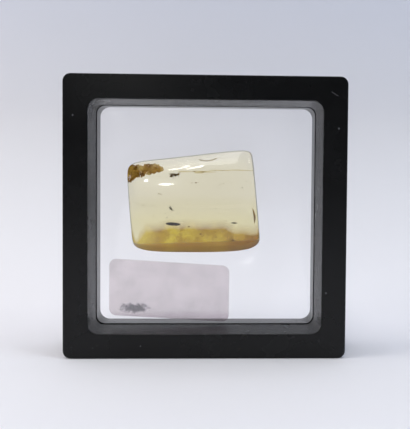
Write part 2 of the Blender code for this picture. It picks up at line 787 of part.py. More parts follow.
def make_scale(group, material):
    count = 11
    points, radii = [], []
    for i in range(count):
        t = i / (count - 1) * 2 - 1
        points.append((3.0 * t, 0, 0.75 * t * t - 0.45))
        radii.append(0.05 + 0.30 * (1 - t * t))
    return settle(bent_blade("bud_scale", points, radii, 1.3, group, material), "bud_scale", (0, -6, 0))


def crust_lump(grown):
    """The lump that the crust fills: a tapered, flattened, knobbly bar, made larger by grown."""
    mesh = tapered_tube([(x, 0, z) for x, z in CRUST_SPINE], CRUST_RADII, roundness=1)
    lump = bpy.data.objects.new("crust_lump", mesh)
    bpy.data.collections["cutters"].objects.link(lump)
    bm = bmesh.new()
    bm.from_mesh(mesh)
    bmesh.ops.remove_doubles(bm, verts=bm.verts, dist=1e-7)
    bmesh.ops.recalc_face_normals(bm, faces=bm.faces)
    for v in bm.verts:
        v.co.y *= CRUST_FLATNESS
    bm.to_mesh(mesh)
    bm.free()
    subdivision = lump.modifiers.new("rounding", "SUBSURF")
    subdivision.levels = subdivision.render_levels = 1
    baked(lump)
    for v in lump.data.vertices:
        x, y, z = v.co / MM
        knob = 0.10 * math.sin(2.3 * x + 1.1 * y) + 0.08 * math.sin(3.1 * y - 1.9 * x)
        v.co.z += knob * MM
        v.co.y += 0.10 * math.sin(2.9 * x + 0.7 * z) * MM
    lump.data.update()
    outward = [v.normal.copy() for v in lump.data.vertices]
    for v, normal in zip(lump.data.vertices, outward):
        v.co += normal * grown
    return lump


def make_crust(amber, group, material):
    """The crumb of rind takes the amber's own surface where it comes to the outside."""
    crust = bpy.data.objects.new("bark_crust", amber.data.copy())
    group.objects.link(crust)
    crust.data.materials.clear()
    crust.data.materials.append(material)
    combine(crust, crust_lump(0), "INTERSECT")
    return smooth(baked(crust))


def main():
    clear_scene()
    group = new_collection("insect in amber")
    new_collection("cutters", hidden=True)
    black = new_material("black plastic", BLACK, 0.42)
    clear = new_material("clear film", CLEAR, 0.05, transmission=1.0, ior=1.45)
    paper = new_material("paper", PAPER, 0.9)
    yellow = new_material("amber", AMBER_YELLOW, 0.05, transmission=1.0, ior=1.54)
    chitin = new_material("chitin", CHITIN, 0.35)
    brown = new_material("dry leaf", BROWN, 0.8)
    rind = new_material("amber rind", RIND, 0.9)

    front_frame, rear_frame = make_frame(group, black)
    amber = make_amber(group, yellow)
    bpy.context.view_layer.update()
    tree = BVHTree.FromObject(amber, bpy.context.evaluated_depsgraph_get())
    front_film = make_film("front_film", tree, -1, group, clear)
    make_film("rear_film", tree, 1, group, clear)
    hang_on_hinge(group, front_frame, front_film)
    make_label(group, paper)
    part_amber(amber, group, yellow)
    make_crust(amber, group, rind)
    bpy.data.objects.remove(amber)
    make_beetle(group, chitin)
    make_gnat(group, chitin)
    make_ant(group, chitin)
    make_pupa(group, chitin)
    make_sliver(group, brown)
    make_scale(group, brown)


main()
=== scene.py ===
import math
import random

import bmesh
import bpy
import numpy as np
from mathutils import Matrix, Vector
from mathutils.bvhtree import BVHTree


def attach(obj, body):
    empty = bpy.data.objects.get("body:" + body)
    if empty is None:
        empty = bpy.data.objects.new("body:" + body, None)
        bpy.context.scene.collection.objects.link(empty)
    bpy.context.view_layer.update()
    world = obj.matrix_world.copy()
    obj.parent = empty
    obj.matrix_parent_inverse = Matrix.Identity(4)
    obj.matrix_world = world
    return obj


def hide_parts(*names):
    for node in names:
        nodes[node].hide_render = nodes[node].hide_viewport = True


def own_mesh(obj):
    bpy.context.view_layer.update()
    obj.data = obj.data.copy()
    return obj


mm = 0.001
frameMiddle = 45.0  # height of the frame's middle, in mm
white = (1, 1, 1, 1)
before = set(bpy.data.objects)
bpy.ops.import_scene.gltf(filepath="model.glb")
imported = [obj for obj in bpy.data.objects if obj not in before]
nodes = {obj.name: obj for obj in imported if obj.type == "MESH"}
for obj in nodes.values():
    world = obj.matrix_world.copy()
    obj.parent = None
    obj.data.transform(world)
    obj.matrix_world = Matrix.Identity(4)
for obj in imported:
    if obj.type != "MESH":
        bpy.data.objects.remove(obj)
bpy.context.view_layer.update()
bpy.context.scene.view_settings.view_transform = "Standard"
print("frame loaded")

# Camera: just right of the middle, a little above it, as far away as two frame widths

cameraSetup = {
    "place": (1.73 * mm, -179.76 * mm, 56.14 * mm),
    "turn": (88.42, -0.43, -1.64),  # degrees about X, Y and Z
    "lens": 45.12,
    "shift": (-0.0508, -0.0399),
}


def addCamera(setup):
    data = bpy.data.cameras.new("camera")
    data.lens = setup["lens"]
    data.shift_x, data.shift_y = setup["shift"]
    data.clip_start = 0.01
    camera = bpy.data.objects.new("camera", data)
    camera.location = setup["place"]
    camera.rotation_euler = [math.radians(angle) for angle in setup["turn"]]
    bpy.context.scene.collection.objects.link(camera)
    bpy.context.scene.camera = camera


addCamera(cameraSetup)


# Small tools for meshes and materials


def objectOf(name, bm, material, body=None):
    mesh = bpy.data.meshes.new(name)
    bm.to_mesh(mesh)
    bm.free()
    mesh.shade_smooth()
    piece = bpy.data.objects.new(name, mesh)
    bpy.context.scene.collection.objects.link(piece)
    mesh.materials.append(material)
    if body:
        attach(piece, body)
    return piece


def bakeModifiers(piece):
    bpy.context.view_layer.update()
    done = bpy.data.meshes.new_from_object(piece.evaluated_get(bpy.context.evaluated_depsgraph_get()))
    piece.modifiers.clear()
    piece.data = done
    done.shade_smooth()


def startMaterial(name):
    material = bpy.data.materials.new(name)
    material.use_nodes = True
    tree = material.node_tree
    return material, tree, tree.nodes["Principled BSDF"]


def put(tree, kind, settings=None, **inputs):
    # Adds one node: i0, i1 and so on are its inputs by number; a socket is linked, any other value is set
    node = tree.nodes.new(kind)
    for key, value in (settings or {}).items():
        setattr(node, key, value)
    for key, value in inputs.items():
        numbered = key[0] == "i" and key[1:].isdigit()
        socket = node.inputs[int(key[1:]) if numbered else key]
        if isinstance(value, bpy.types.NodeSocket):
            tree.links.new(value, socket)
        else:
            socket.default_value = value
    return node


def ramp(tree, factor, *stops):
    node = tree.nodes.new("ShaderNodeValToRGB")
    tree.links.new(factor, node.inputs[0])
    elements = node.color_ramp.elements
    while len(elements) < len(stops):
        elements.new(0.5)
    for element, (place, colour) in zip(elements, stops):
        element.position = place
        element.color = colour if len(colour) == 4 else (*colour, 1)
    return node.outputs[0]


def grey(value):
    return (value, value, value, 1)


def maths(tree, operation, a, b=0.0, clamp=False):
    node = put(tree, "ShaderNodeMath", {"operation": operation, "use_clamp": clamp}, i0=a, i1=b)
    return node.outputs[0]


def plus(tree, a, b):
    return maths(tree, "ADD", a, b)


def times(tree, a, b):
    return maths(tree, "MULTIPLY", a, b)


def between(tree, value, start, end):
    # 0 at the start, 1 at the end
    return maths(tree, "DIVIDE", maths(tree, "SUBTRACT", value, start), end - start, clamp=True)


def mixed(tree, factor, a, b, blend="MIX"):
    node = put(tree, "ShaderNodeMix", {"data_type": "RGBA", "blend_type": blend}, i0=factor, i6=a, i7=b)
    return node.outputs[2]


def objectPlace(tree):
    return put(tree, "ShaderNodeTexCoord").outputs["Object"]


def noise(tree, place, scale, detail=4.0, roughness=0.55):
    values = {"Vector": place, "Scale": scale, "Detail": detail, "Roughness": roughness}
    return put(tree, "ShaderNodeTexNoise", None, **values).outputs[0]


def stretched(tree, place, x, y, z):
    return put(tree, "ShaderNodeMapping", None, Vector=place, Scale=(x, y, z)).outputs[0]


def bump(tree, height, strength, distance):
    node = put(tree, "ShaderNodeBump", None, Height=height, Strength=strength, Distance=distance)
    return node.outputs["Normal"]


def nearSpots(tree, place, spots):
    # 1 close to any of the (x, y, z, radius) spots, in mm, and 0 away from them
    total = None
    for *middle, radius in spots:
        middle = [c * mm for c in middle]
        apart = put(tree, "ShaderNodeVectorMath", {"operation": "DISTANCE"}, i0=place, i1=middle)
        near = maths(tree, "LESS_THAN", apart.outputs["Value"], radius * mm)
        total = near if total is None else maths(tree, "MAXIMUM", total, near)
    return total


def reachFrom(tree, place, middle, scale):
    # How far a place is from the middle, which is in mm, with a scale of its own on each axis
    middle, scale = [c * mm for c in middle], [c / mm for c in scale]
    for operation, other in (("SUBTRACT", middle), ("MULTIPLY", scale), ("LENGTH", (0, 0, 0))):
        node = put(tree, "ShaderNodeVectorMath", {"operation": operation}, i0=place, i1=other)
        place = node.outputs[0]
    return node.outputs["Value"]


def shineThrough(tree, colour, normal, glow, clearness):
    # A surface that is partly clear; the rest shines through by the share of glow
    tree.nodes.remove(tree.nodes["Principled BSDF"])
    front = put(tree, "ShaderNodeBsdfDiffuse", None, Color=colour, Normal=normal)
    through = put(tree, "ShaderNodeBsdfTranslucent", None, Color=colour)
    clear = put(tree, "ShaderNodeBsdfTransparent", None, Color=colour)
    dense = put(tree, "ShaderNodeMixShader", None, i0=glow, i1=front.outputs[0], i2=through.outputs[0])
    mix = put(tree, "ShaderNodeMixShader", None, i0=clearness, i1=dense.outputs[0], i2=clear.outputs[0])
    tree.links.new(mix.outputs[0], tree.nodes["Material Output"].inputs["Surface"])


# The room: a pale paper sweep, three softboxes and small lamps for the bright spots

room = {
    "paper": (0.82, 0.81, 0.835),
    "paintedUpperShade": (0.83, 0.86, 0.93, 1),  # painted shade: the sweep's colour is made darker and bluer towards its top, in place of the light falling off there
    "paintedShadeHeights": (0.09, 0.18),
    "front": -1.2,
    "curveStart": 0.035,
    "curveRadius": 0.10,
    "width": 2.6,
    "height": 0.9,
    "sky": (0.78, 0.87, 1.0),
    "skyStrength": 0.10,
    "lampAim": (0.0, 0.0, 0.05),
    "lampColour": (1.0, 0.99, 0.97),
    "lamps": {
        "window": {
            "place": (-0.71, -0.14, 0.42), "size": (0.40, 0.40),
            "power": 3.25, "colour": (1.0, 0.975, 0.94),
        },
        "ceiling": {
            "place": (0.02, 0.01, 0.80), "aim": (0.0, 0.03, 0.0), "size": (0.70, 0.70),
            "power": 4.05, "colour": (0.97, 0.975, 1.0),
        },
        "blueFill": {
            "place": (0.60, -0.20, 0.35), "aim": (0.0, 0.12, 0.05), "size": (0.35, 0.35),
            "power": 1.0, "colour": (0.60, 0.78, 1.0),
        },
        # small ones far off, only for the bright spots on the polish
        "cornerLamp": {"place": (0.534, -0.333, 0.833), "size": (0.15, 0.13), "power": 0.66, "round": True},
        "deskLamp": {"place": (-0.160, -0.966, 0.300), "size": (0.060, 0.020), "power": 0.085, "round": True},
        "sideLamp": {"place": (-0.267, -0.936, 0.335), "size": (0.036, 0.026), "power": 0.055, "round": True},
        "shelfLamp": {"place": (-0.167, -0.445, 0.945), "size": (0.042, 0.14), "power": 0.34, "round": True},
        "shelfLampToo": {
            "place": (-0.118, -0.520, 0.912), "size": (0.042, 0.14), "power": 0.34, "round": True,
        },
    },
}


def makeSweep(setup):
    material, tree, shader = startMaterial("backdropPaper")
    place = objectPlace(tree)
    fibre = noise(tree, place, 900.0, 5.0)
    clouds = noise(tree, place, 6.0, 2.0)
    shade = ramp(tree, clouds, (0.3, setup["paper"]), (0.8, [c * 0.985 for c in setup["paper"]]))
    height = put(tree, "ShaderNodeSeparateXYZ", None, i0=place).outputs["Z"]
    # painted shade: the paper's colour is multiplied darker towards the top of the sweep
    upper = mixed(tree, between(tree, height, *setup["paintedShadeHeights"]), white, setup["paintedUpperShade"])
    tree.links.new(mixed(tree, 1.0, shade, upper, "MULTIPLY"), shader.inputs["Base Color"])
    shader.inputs["Roughness"].default_value = 0.85
    shader.inputs["Specular IOR Level"].default_value = 0.2
    tree.links.new(bump(tree, fibre, 0.05, 0.0002), shader.inputs["Normal"])
    start, radius = setup["curveStart"], setup["curveRadius"]
    profile = [(setup["front"], 0.0), (start - 0.05, 0.0)]
    for step in range(25):
        angle = step / 24 * math.pi / 2
        profile.append((start + radius * math.sin(angle), radius * (1 - math.cos(angle))))
    profile.append((start + radius, setup["height"]))
    bm = bmesh.new()
    rows = []
    for side in (-1, 1):
        rows.append([bm.verts.new((side * setup["width"] / 2, y, z)) for y, z in profile])
    for i in range(len(profile) - 1):
        bm.faces.new((rows[0][i], rows[1][i], rows[1][i + 1], rows[0][i + 1]))
    sweep = objectOf("paperSweep", bm, material)


def addSoftbox(name, setup):
    data = bpy.data.lights.new(name, "AREA")
    data.shape = "ELLIPSE" if setup.get("round") else "RECTANGLE"
    data.size, data.size_y = setup["size"]
    data.energy = setup["power"]
    data.color = setup.get("colour", room["lampColour"])
    lamp = bpy.data.objects.new(name, data)
    lamp.location = setup["place"]
    direction = Vector(setup.get("aim", room["lampAim"])) - Vector(setup["place"])
    lamp.rotation_euler = direction.to_track_quat("-Z", "Y").to_euler()
    bpy.context.scene.collection.objects.link(lamp)


def makeSky(setup):
    world = bpy.data.worlds.new("roomLight")
    world.use_nodes = True
    bpy.context.scene.world = world
    shader = world.node_tree.nodes["Background"]
    shader.inputs["Color"].default_value = (*setup["sky"], 1)
    shader.inputs["Strength"].default_value = setup["skyStrength"]


makeSweep(room)
makeSky(room)
for lampName, lamp in room["lamps"].items():
    addSoftbox(lampName, lamp)
print("room set")


# The frame: moulded black plastic, satin outside, with dust and a scuff

blackPlastic = {
    "colour": 0.0047,
    "worn": 0.009,
    "roughness": 0.26,
    "grain": 2600.0,
    "specular": 0.23,
    "mark": (0.16, 0.16, 0.17, 1),
    # x, y, z and radius in mm
    "scuff": [(39.63 + i * 0.16, -10.0, 85.0 - i * 0.10, 0.12) for i in range(13)],
    "dust": [
        (-41.7, -10.0, 76.9, 0.28), (42.0, -10.0, 73.5, 0.32), (38.5, -10.0, 21.1, 0.30),
        (-20.4, -10.0, 4.1, 0.2),
    ],
}


def makeBlackPlastic(setup):
    material, tree, shader = startMaterial("moldedBlackPlastic")
    place = objectPlace(tree)
    cloud = noise(tree, place, 60.0, 5.0)
    grain = noise(tree, place, setup["grain"], 3.0)
    base = ramp(tree, cloud, (0.35, grey(setup["colour"])), (0.85, grey(setup["worn"])))
    dusty = times(tree, nearSpots(tree, place, setup["scuff"] + setup["dust"]), 0.5)
    tree.links.new(mixed(tree, dusty, base, setup["mark"]), shader.inputs["Base Color"])
    rough = plus(tree, setup["roughness"] - 0.05, times(tree, cloud, 0.10))
    rough = maths(tree, "ADD", rough, times(tree, dusty, 0.4), clamp=True)
    tree.links.new(rough, shader.inputs["Roughness"])
    shader.inputs["IOR"].default_value = 1.5
    shader.inputs["Specular IOR Level"].default_value = setup["specular"]
    tree.links.new(bump(tree, grain, 0.05, 0.00002), shader.inputs["Normal"])
    return material


def wear(node, material):
    node.data.materials.clear()
    node.data.materials.append(material)
    for polygon in node.data.polygons:
        polygon.material_index = 0


plastic = makeBlackPlastic(blackPlastic)
for name in ("front_frame", "rear_frame"):
    wear(nodes[name], plastic)
print("frame finished")


# The amber: one clear polished bar, in place of the two halves that stand round the inclusions

amberBar = {
    # the rough block in mm, and how its ends lean
    "left": -25.45, "right": 16.95, "middle": 50.0,
    "leftLean": -0.079, "rightLean": -0.096,
    "bottom": 32.7, "top": 65.6, "topSlope": 0.103,
    "halfDepth": 6.3,
    # along the bar: place, and shares of the height above, of the height below and of the depth
    "stations": (
        (0.000, 0.87, 0.83, 0.86), (0.075, 0.995, 0.975, 0.95), (0.300, 0.985, 1.00, 1.02),
        (0.680, 1.01, 1.00, 1.03), (0.930, 1.02, 0.95, 0.95), (1.000, 0.96, 0.78, 0.86),
    ),
    # round the bar: height, depth in front and behind, crease in front and behind
    "rows": (
        (0.98, 0.44, 0.86, 0.60, 0.80), (0.68, 0.90, 1.00, 0.45, 0.0), (0.24, 1.07, 1.03, 0.0, 0.0),
        (-0.34, 1.06, 1.04, 0.0, 0.0), (-0.84, 0.90, 0.98, 0.70, 0.2), (-0.98, 0.50, 0.80, 0.50, 0.70),
    ),
    "levels": 4,
    "endCrease": 0.22,
    "ior": 1.54,
    "tint": (0.975, 0.84, 0.20),
    "density": 37.0,
    # the ochre rind on the lower part of the back
    "rindDark": (0.26, 0.100, 0.00005),
    "rind": (0.40, 0.205, 0.0002),
    "rindLight": (0.64, 0.44, 0.0025),
    "rindPale": (0.64, 0.44, 0.020, 1),  # at its left end
    "rindDeep": (0.30, 0.09, 0.01, 1),  # what is left of the light where it is thickest
    "rindTop": (
        (-22.9, 35.8), (-21.8, 40.6), (-19.9, 43.0), (-12.0, 44.0), (6.3, 44.0), (9.8, 42.4), (16.5, 42.2),
    ),
    "rindEnds": (-30.0, 20.0),
    "rindRagged": 2.0,
    "rindFade": 3.4,
    "rindThick": 3.8,
    # the back is a little yellower lower down, between these heights
    "tinge": (0.90, 0.857, 0.53, 1),
    "tingeHeights": (52.0, 43.5),
    # the ground bevel
    "bandTop": 37.0,
    "bandSlope": 0.035,
    "band": (0.64, 0.43, 0.22, 1),
    # rind on the surface at the upper left corner: its middle and how far it reaches along x and z
    "corner": (-26.5, 0.0, 59.1),
    "cornerReach": (5.2, 2.9),
    "cornerDark": (0.36, 0.165, 0.012),
    "cornerLight": (0.92, 0.57, 0.09),
}


def amberPoint(bar, along, height, depth, topShare, bottomShare, depthShare):
    roughX = bar["left"] + along * (bar["right"] - bar["left"])
    top = bar["top"] + bar["topSlope"] * roughX
    middle = (top + bar["bottom"]) / 2
    z = middle + height * (topShare if height > 0 else bottomShare) * (top - bar["bottom"]) / 2
    left = bar["left"] + bar["leftLean"] * (z - bar["middle"])
    right = bar["right"] + bar["rightLean"] * (z - bar["middle"])
    return Vector((left + along * (right - left), depth * depthShare * bar["halfDepth"], z)) * mm


def makeAmberMesh(bar, material):
    rows = [(v, -front, sharp) for v, front, back, sharp, _ in bar["rows"]]
    rows += [(v, back, sharp) for v, front, back, _, sharp in reversed(bar["rows"])]
    count = len(rows)
    bm = bmesh.new()
    crease = bm.edges.layers.float.new("crease_edge")
    loops = [
        [bm.verts.new(amberPoint(bar, along, v, w, *shares)) for v, w, _ in rows]
        for along, *shares in bar["stations"]
    ]
    for a, b in zip(loops, loops[1:]):
        for i in range(count):
            j = (i + 1) % count
            bm.faces.new((a[i], b[i], b[j], a[j]))
    for end in (loops[0], loops[-1]):
        for i in range(count // 2 - 1):
            bm.faces.new((end[i], end[i + 1], end[count - 2 - i], end[count - 1 - i]))
    for a, b in zip(loops, loops[1:]):
        for i, (v, w, sharp) in enumerate(rows):
            bm.edges.get((a[i], b[i]))[crease] = sharp
    for end in (loops[0], loops[-1]):
        for i in range(count):
            bm.edges.get((end[i], end[(i + 1) % count]))[crease] = bar["endCrease"]
    bmesh.ops.recalc_face_normals(bm, faces=bm.faces)
    piece = objectOf("clearAmber", bm, material)
    rounding = piece.modifiers.new("rounding", "SUBSURF")
    rounding.levels = rounding.render_levels = bar["levels"]
    bakeModifiers(piece)
    return piece


def makeAmberMaterial(bar):
    material, tree, shader = startMaterial("polishedAmber")
    place = objectPlace(tree)
    across, depth, height = put(tree, "ShaderNodeSeparateXYZ", None, i0=place).outputs
    low, high = bar["rindEnds"]
    behind = between(tree, depth, 0, 1.5 * mm)
    inFront = maths(tree, "LESS_THAN", depth, 1.5 * mm)
    # the rind: its ragged upper edge, its mottling, and how it gets paler to the left and deeper downwards
    share = between(tree, across, low * mm, high * mm)
    top = ramp(tree, share, *[((x - low) / (high - low), grey(z / 60)) for x, z in bar["rindTop"]])
    ragged = times(tree, maths(tree, "SUBTRACT", noise(tree, place, 200.0, 6.0), 0.5), bar["rindRagged"] * mm)
    edge = maths(tree, "SUBTRACT", plus(tree, times(tree, top, 60 * mm), ragged), height)
    rind = times(tree, between(tree, edge, 0, bar["rindFade"] * mm), behind)
    mottle = times(tree, noise(tree, place, 1100.0, 3.0), 0.22)
    mottle = plus(tree, noise(tree, place, 210.0, 6.0, 0.62), mottle)
    blotch = ramp(tree, mottle, (0.47, bar["rindDark"]), (0.58, bar["rind"]), (0.70, bar["rindLight"]))
    blotch = mixed(tree, between(tree, share, 0.30, 0.13), blotch, bar["rindPale"])
    thick = times(tree, between(tree, edge, 0, bar["rindThick"] * mm), maths(tree, "POWER", share, 1.3))
    blotch = mixed(tree, 1.0, blotch, mixed(tree, thick, white, bar["rindDeep"]), "MULTIPLY")
    yellow = between(tree, height, *[z * mm for z in bar["tingeHeights"]])
    clear = mixed(tree, times(tree, yellow, behind), white, bar["tinge"])
    colour = mixed(tree, rind, clear, blotch)
    # the bevel under it was only ground, so it is frosted
    line = plus(tree, bar["bandTop"] * mm, times(tree, across, bar["bandSlope"]))
    ground = between(tree, maths(tree, "SUBTRACT", line, height), 0, 0.35 * mm)
    ground = times(tree, ground, maths(tree, "LESS_THAN", depth, 2.0 * mm))
    colour = mixed(tree, ground, colour, bar["band"])
    # the rind that is left on the surface, over the crust
    reachX, reachZ = bar["cornerReach"]
    reach = reachFrom(tree, place, bar["corner"], (1 / reachX, 0, 1 / reachZ))
    grains = noise(tree, place, 700.0, 5.0, 0.65)
    reach = plus(tree, reach, times(tree, maths(tree, "SUBTRACT", grains, 0.5), 0.8))
    caked = times(tree, between(tree, reach, 1.0, 0.94), inFront)
    brown = ramp(tree, grains, (0.40, bar["cornerDark"]), (0.62, bar["cornerLight"]))
    tree.links.new(mixed(tree, caked, colour, brown), shader.inputs["Base Color"])
    rough = plus(tree, 0.015, times(tree, rind, 0.15))
    rough = maths(tree, "MAXIMUM", rough, times(tree, caked, 0.45))
    rough = maths(tree, "MAXIMUM", rough, times(tree, ground, 0.42))
    tree.links.new(rough, shader.inputs["Roughness"])
    clearness = maths(tree, "SUBTRACT", 1.0, caked)
    tree.links.new(clearness, shader.inputs["Transmission Weight"])
    tree.links.new(times(tree, clearness, 0.5), shader.inputs["Specular IOR Level"])
    shader.inputs["IOR"].default_value = bar["ior"]
    hairlines = noise(tree, stretched(tree, place, 900.0, 900.0, 3000.0), 1.0, 4.0)
    waves = noise(tree, stretched(tree, place, 45.0, 60.0, 110.0), 1.0, 2.0)
    fine = bump(tree, hairlines, 0.02, 0.00002)
    waved = put(tree, "ShaderNodeBump", None, Height=waves, Strength=0.5, Distance=0.00012, Normal=fine)
    tree.links.new(waved.outputs["Normal"], shader.inputs["Normal"])
    absorb = put(tree, "ShaderNodeVolumeAbsorption", None, Density=bar["density"])
    absorb.inputs["Color"].default_value = (*bar["tint"], 1)
    tree.links.new(absorb.outputs[0], tree.nodes["Material Output"].inputs["Volume"])
    return material


clearAmber = makeAmberMesh(amberBar, makeAmberMaterial(amberBar))
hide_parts("amber_front", "amber_rear")
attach(clearAmber, "back_half")
bpy.context.view_layer.update()
amberTree = BVHTree.FromObject(clearAmber, bpy.context.evaluated_depsgraph_get())
print("amber cut and polished")


# The films: each relaxed as a sheet, stretched from the window's edge over the amber and the label

filmSheet = {
    "half": 36.42,  # half the window's side
    "rim": 38.2,
    "rimOffset": 0.3,
    "thickness": 0.12,
    "clearance": 0.10,
    "cells": 144,
    "rounds": 620,
    "ior": 1.32,
    "roughness": 0.12,
    # creases where the sheet leaves the amber: x, z, radius, direction and spread in degrees, width
    "tents": (
        (10.4, 60.3, 11.1, 55, 65, 1.5), (-18.5, 61.0, 6.7, 95, 55, 1.3),
        (-60.0, 52.0, 31.6, 18, 14, 1.5), (50.0, 68.0, 28.4, 187, 12, 1.3),
    ),
    "creaseHeight": 0.07,
    "ripple": 0.018,
}
labelCard = {"size": (40.1, 18.9), "thickness": 0.15, "middle": (-12.13, 19.9), "tilt": 3.4, "spare": 0.2}


def onLabel(card, x, z):
    tilt = math.radians(card["tilt"])
    dx, dz = x - card["middle"][0], z - card["middle"][1]
    u = dx * math.cos(tilt) - dz * math.sin(tilt)
    v = dx * math.sin(tilt) + dz * math.cos(tilt)
    width, height = card["size"]
    return abs(u) < width / 2 + card["spare"] and abs(v) < height / 2 + card["spare"]


def creases(sheet, ticks):
    # Soft ridges in the sheet, each a stretch of a circle round (x, z)
    x, z = np.meshgrid(ticks, frameMiddle + ticks)
    total = np.zeros_like(x)
    for middleX, middleZ, radius, direction, spread, width in sheet["tents"]:
        reach = np.hypot(x - middleX, z - middleZ)
        ridge = np.clip(1 - np.abs(reach - radius) / width, 0, 1)
        aim = math.radians(direction)
        ahead = (x - middleX) * math.cos(aim) + (z - middleZ) * math.sin(aim)
        facing = ahead / np.maximum(reach, 0.01)
        limit = math.cos(math.radians(spread))
        fade = np.clip((facing - limit) / ((1 - limit) * 0.5), 0, 1)
        total = np.maximum(total, ridge * ridge * (3 - 2 * ridge) * fade)
    return total * sheet["creaseHeight"]


def stretchedHeights(sheet, side):
    cells = sheet["cells"]
    ticks = np.linspace(-sheet["half"], sheet["half"], cells + 1)
    held = np.full((cells + 1, cells + 1), sheet["rimOffset"])
    for j, dz in enumerate(ticks):
        for i, x in enumerate(ticks):
            z = frameMiddle + dz
            if onLabel(labelCard, x, z):
                held[j, i] = labelCard["thickness"] / 2 + sheet["rimOffset"]
            start = Vector((x, side * 20.0, z)) * mm
            hit = amberTree.ray_cast(start, Vector((0, -side, 0)))[0]
            if hit is not None:
                held[j, i] = max(held[j, i], side * hit.y / mm + sheet["clearance"])
    heights = held.copy()
    rows, columns = np.indices(held.shape)
    inner = slice(1, -1)
    squares = [((rows + columns) % 2 == parity)[inner, inner] for parity in (0, 1)]
    pull = 2 / (1 + math.sin(math.pi / cells))
    for _ in range(sheet["rounds"]):
        for square in squares:
            around = heights[:-2, inner] + heights[2:, inner] + heights[inner, :-2] + heights[inner, 2:]
            moved = heights[inner, inner] + pull * (around / 4 - heights[inner, inner])
            moved = np.maximum(moved, held[inner, inner])
            heights[inner, inner] = np.where(square, moved, heights[inner, inner])
    return ticks, heights + creases(sheet, ticks)


def makeFilmMaterial(sheet):
    material, tree, shader = startMaterial("clearFilm")
    place = objectPlace(tree)
    tree.nodes.remove(shader)
    gloss = put(tree, "ShaderNodeBsdfGlossy", None, Color=white)
    wipe = noise(tree, stretched(tree, place, 60.0, 60.0, 160.0), 1.0, 4.0)
    tree.links.new(plus(tree, sheet["roughness"], times(tree, wipe, 0.08)), gloss.inputs["Roughness"])
    clear = put(tree, "ShaderNodeBsdfTransparent", None, Color=white)
    # faint stretch lines bend what the sheet mirrors
    lines = times(tree, noise(tree, stretched(tree, place, 26.0, 26.0, 300.0), 1.0, 3.0), sheet["ripple"])
    tree.links.new(bump(tree, lines, 1.0, 1.0 * mm), gloss.inputs["Normal"])
    fresnel = put(tree, "ShaderNodeFresnel", None, IOR=sheet["ior"])
    share = fresnel.outputs[0]
    mix = put(tree, "ShaderNodeMixShader", None, i0=share, i1=clear.outputs[0], i2=gloss.outputs[0])
    tree.links.new(mix.outputs[0], tree.nodes["Material Output"].inputs["Surface"])
    return material


def makeFilm(name, side, body, node, material):
    sheet = filmSheet
    ticks, heights = stretchedHeights(sheet, side)
    count = len(ticks) + 2
    full = np.full((count, count), sheet["rimOffset"])
    full[1:-1, 1:-1] = heights
    places = [-sheet["rim"], *ticks, sheet["rim"]]
    bm = bmesh.new()
    grid = []
    for dz, row in zip(places, full):
        z = (frameMiddle + dz) * mm
        grid.append([bm.verts.new((x * mm, side * y * mm, z)) for x, y in zip(places, row)])
    for a, b in zip(grid, grid[1:]):
        for i in range(count - 1):
            corners = (a[i], a[i + 1], b[i + 1], b[i])
            bm.faces.new(corners if side < 0 else corners[::-1])
    film = objectOf(name, bm, material)
    thickness = film.modifiers.new("thickness", "SOLIDIFY")
    thickness.thickness = sheet["thickness"] * mm
    thickness.offset = 1.0
    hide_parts(node)
    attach(film, body)
    return film


filmMaterial = makeFilmMaterial(filmSheet)
frontFilm = makeFilm("frontFilm", -1, "front_half", "front_film", filmMaterial)
makeFilm("rearFilm", 1, "back_half", "rear_film", filmMaterial)
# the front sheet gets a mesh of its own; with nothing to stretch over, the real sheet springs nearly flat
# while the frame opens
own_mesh(frontFilm)
print("films stretched")


# The label: thin paper that lets light through, blank, with one soft smudge and painted shade along its lower
# edge

labelLook = {
    "paper": (0.975, 0.935, 0.94),
    "glow": 0.45,
    "clearness": 0.86,
    "smudge": (-23.6, 0.0, 13.9),
    "smudgeScale": (0.105, 0.0, 0.30),
    "smudgeColour": (0.30, 0.30, 0.32, 1),
    "paintedLowShade": (0.62, 0.56, 0.60, 1),  # painted shade: the paper is drawn a little darker near its lower edge, next to the frame's rim
    "lowShadeHeights": (13.0, 10.0),
}


def makeLabelMaterial(look):
    material, tree, _ = startMaterial("labelPaper")
    place = objectPlace(tree)
    fibres = noise(tree, place, 2600.0, 6.0, 0.7)
    cloud = noise(tree, place, 140.0, 4.0)
    base = ramp(tree, cloud, (0.3, look["paper"]), (0.7, [c * 0.93 for c in look["paper"]]))
    reach = reachFrom(tree, place, look["smudge"], look["smudgeScale"])
    worn = plus(tree, reach, times(tree, noise(tree, place, 700.0, 3.0), 0.9))
    smudge = ramp(tree, worn, (0.70, grey(0.62)), (1.0, grey(0)))
    base = mixed(tree, smudge, base, look["smudgeColour"])
    # painted shade: the paper's colour darkens towards its lower edge
    height = put(tree, "ShaderNodeSeparateXYZ", None, i0=place).outputs["Z"]
    low = between(tree, height, *[z * mm for z in look["lowShadeHeights"]])
    base = mixed(tree, times(tree, low, 0.35), base, look["paintedLowShade"])
    shineThrough(tree, base, bump(tree, fibres, 0.15, 0.00002), look["glow"], look["clearness"])
    return material


wear(nodes["label"], makeLabelMaterial(labelLook))
print("label finished")


# What is sealed in the amber: soft tools for bodies, limbs, wings and blades, all in mm


def onCurve(p, q, r, w, t):
    # The smooth curve through four values, between the two middle ones
    bend, twist = 2 * p - 5 * q + 4 * r - w, 3 * q - p - 3 * r + w
    return 0.5 * (2 * q + (r - p) * t + bend * t * t + twist * t**3)


def smoothLine(points, steps):
    line = []
    padded = [points[0], *points, points[-1]]
    for four in zip(padded, padded[1:], padded[2:], padded[3:]):
        for step in range(steps):
            line.append([onCurve(*values, step / steps) for values in zip(*four)])
    line.append(list(points[-1]))
    return line


